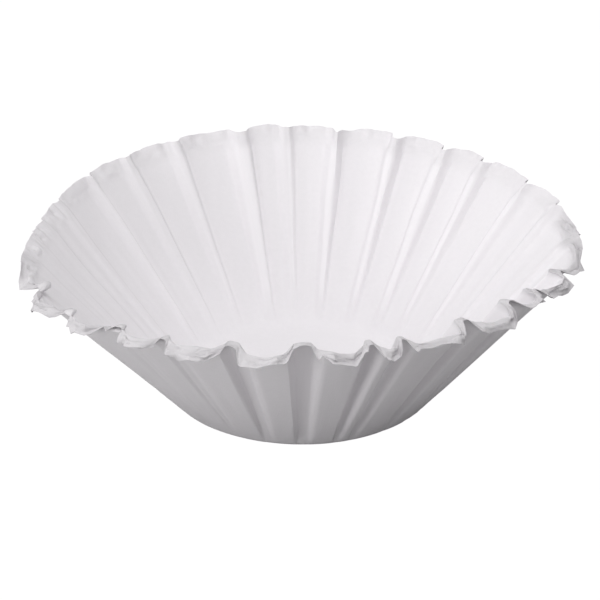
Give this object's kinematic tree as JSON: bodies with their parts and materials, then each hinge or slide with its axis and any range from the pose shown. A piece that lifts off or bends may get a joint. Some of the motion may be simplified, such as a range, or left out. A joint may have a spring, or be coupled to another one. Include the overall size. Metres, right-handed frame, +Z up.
{
  "type": "paper coffee filter",
  "caption": "Basket-type coffee filter: one thin sheet of creped paper pressed into a bowl with a flat round base and a flared, fluted wall that ends in an open wavy rim.",
  "frame": {"origin": "centre of the flat base, on its underside", "axes": "+Z up through the open mouth, +X and +Y level, with +X at the deepest flutes"},
  "size_m": [0.2976, 0.2978, 0.0942],
  "materials": {
    "filter_paper": "matt bleached white paper with a fine crepe"
  },
  "bodies": {
    "root": {"filter_paper": "filter_paper"}
  },
  "joints": []
}
